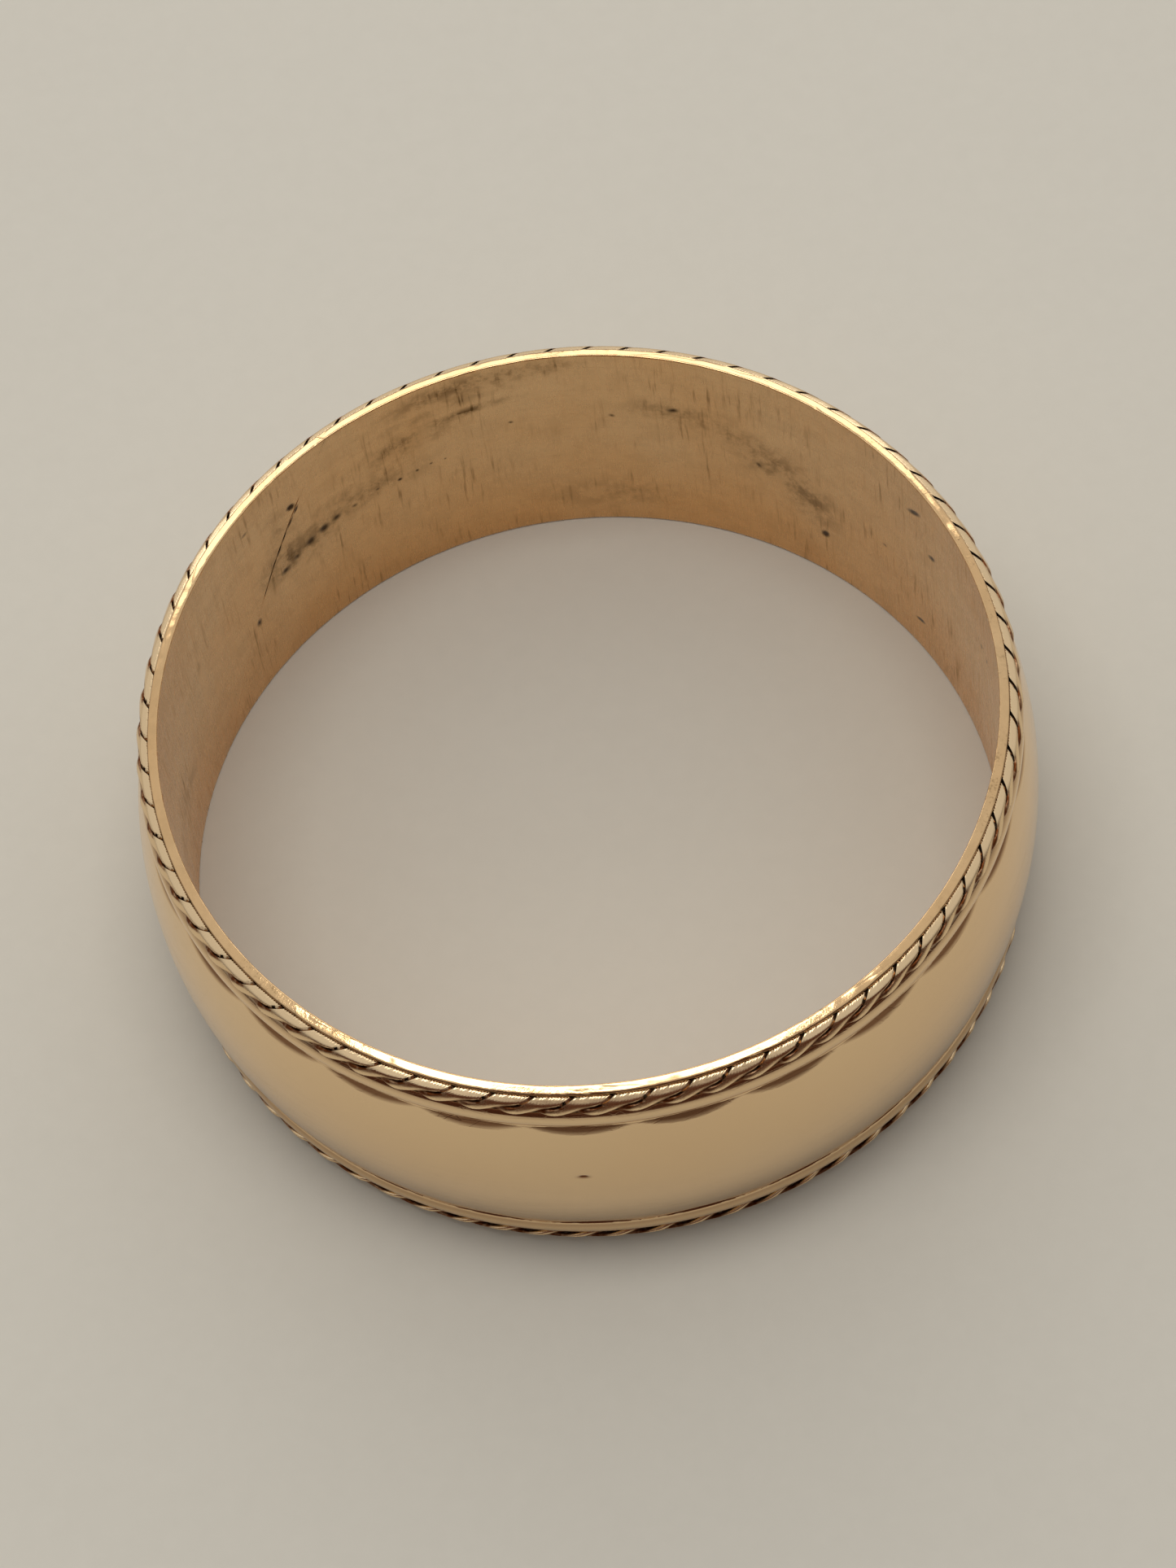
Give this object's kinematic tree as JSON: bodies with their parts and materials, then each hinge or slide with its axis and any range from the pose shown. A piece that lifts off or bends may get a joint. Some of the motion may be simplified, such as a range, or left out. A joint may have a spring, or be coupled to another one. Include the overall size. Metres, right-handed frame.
{
  "type": "wedding band",
  "caption": "Gold wedding band with a domed centre, twisted rope rims and a chain of small bright cuts beside each rope.",
  "frame": {"origin": "on the finger axis, midway between the two rims", "axes": "+Z along the finger axis, out of the upper rim; +X and +Y across the band, with the sleeve's slanted joint at 135.5 degrees from +X towards +Y"},
  "size_m": [0.0198, 0.0198, 0.0068],
  "materials": {
    "yellow_gold": "polished and worn",
    "rope_gold": "drawn wire, worn",
    "gold_solder": "as flowed"
  },
  "bodies": {
    "root": {"base_sleeve": "yellow_gold", "sleeve_seam_solder": "gold_solder", "dome_band": "yellow_gold", "dome_seam_solder": "gold_solder", "dome_solder_film": "gold_solder", "upper_rope_strand_a": "rope_gold", "upper_rope_strand_b": "rope_gold", "upper_rope_solder_bed": "gold_solder", "lower_rope_strand_a": "rope_gold", "lower_rope_strand_b": "rope_gold", "lower_rope_solder_bed": "gold_solder"}
  },
  "joints": []
}
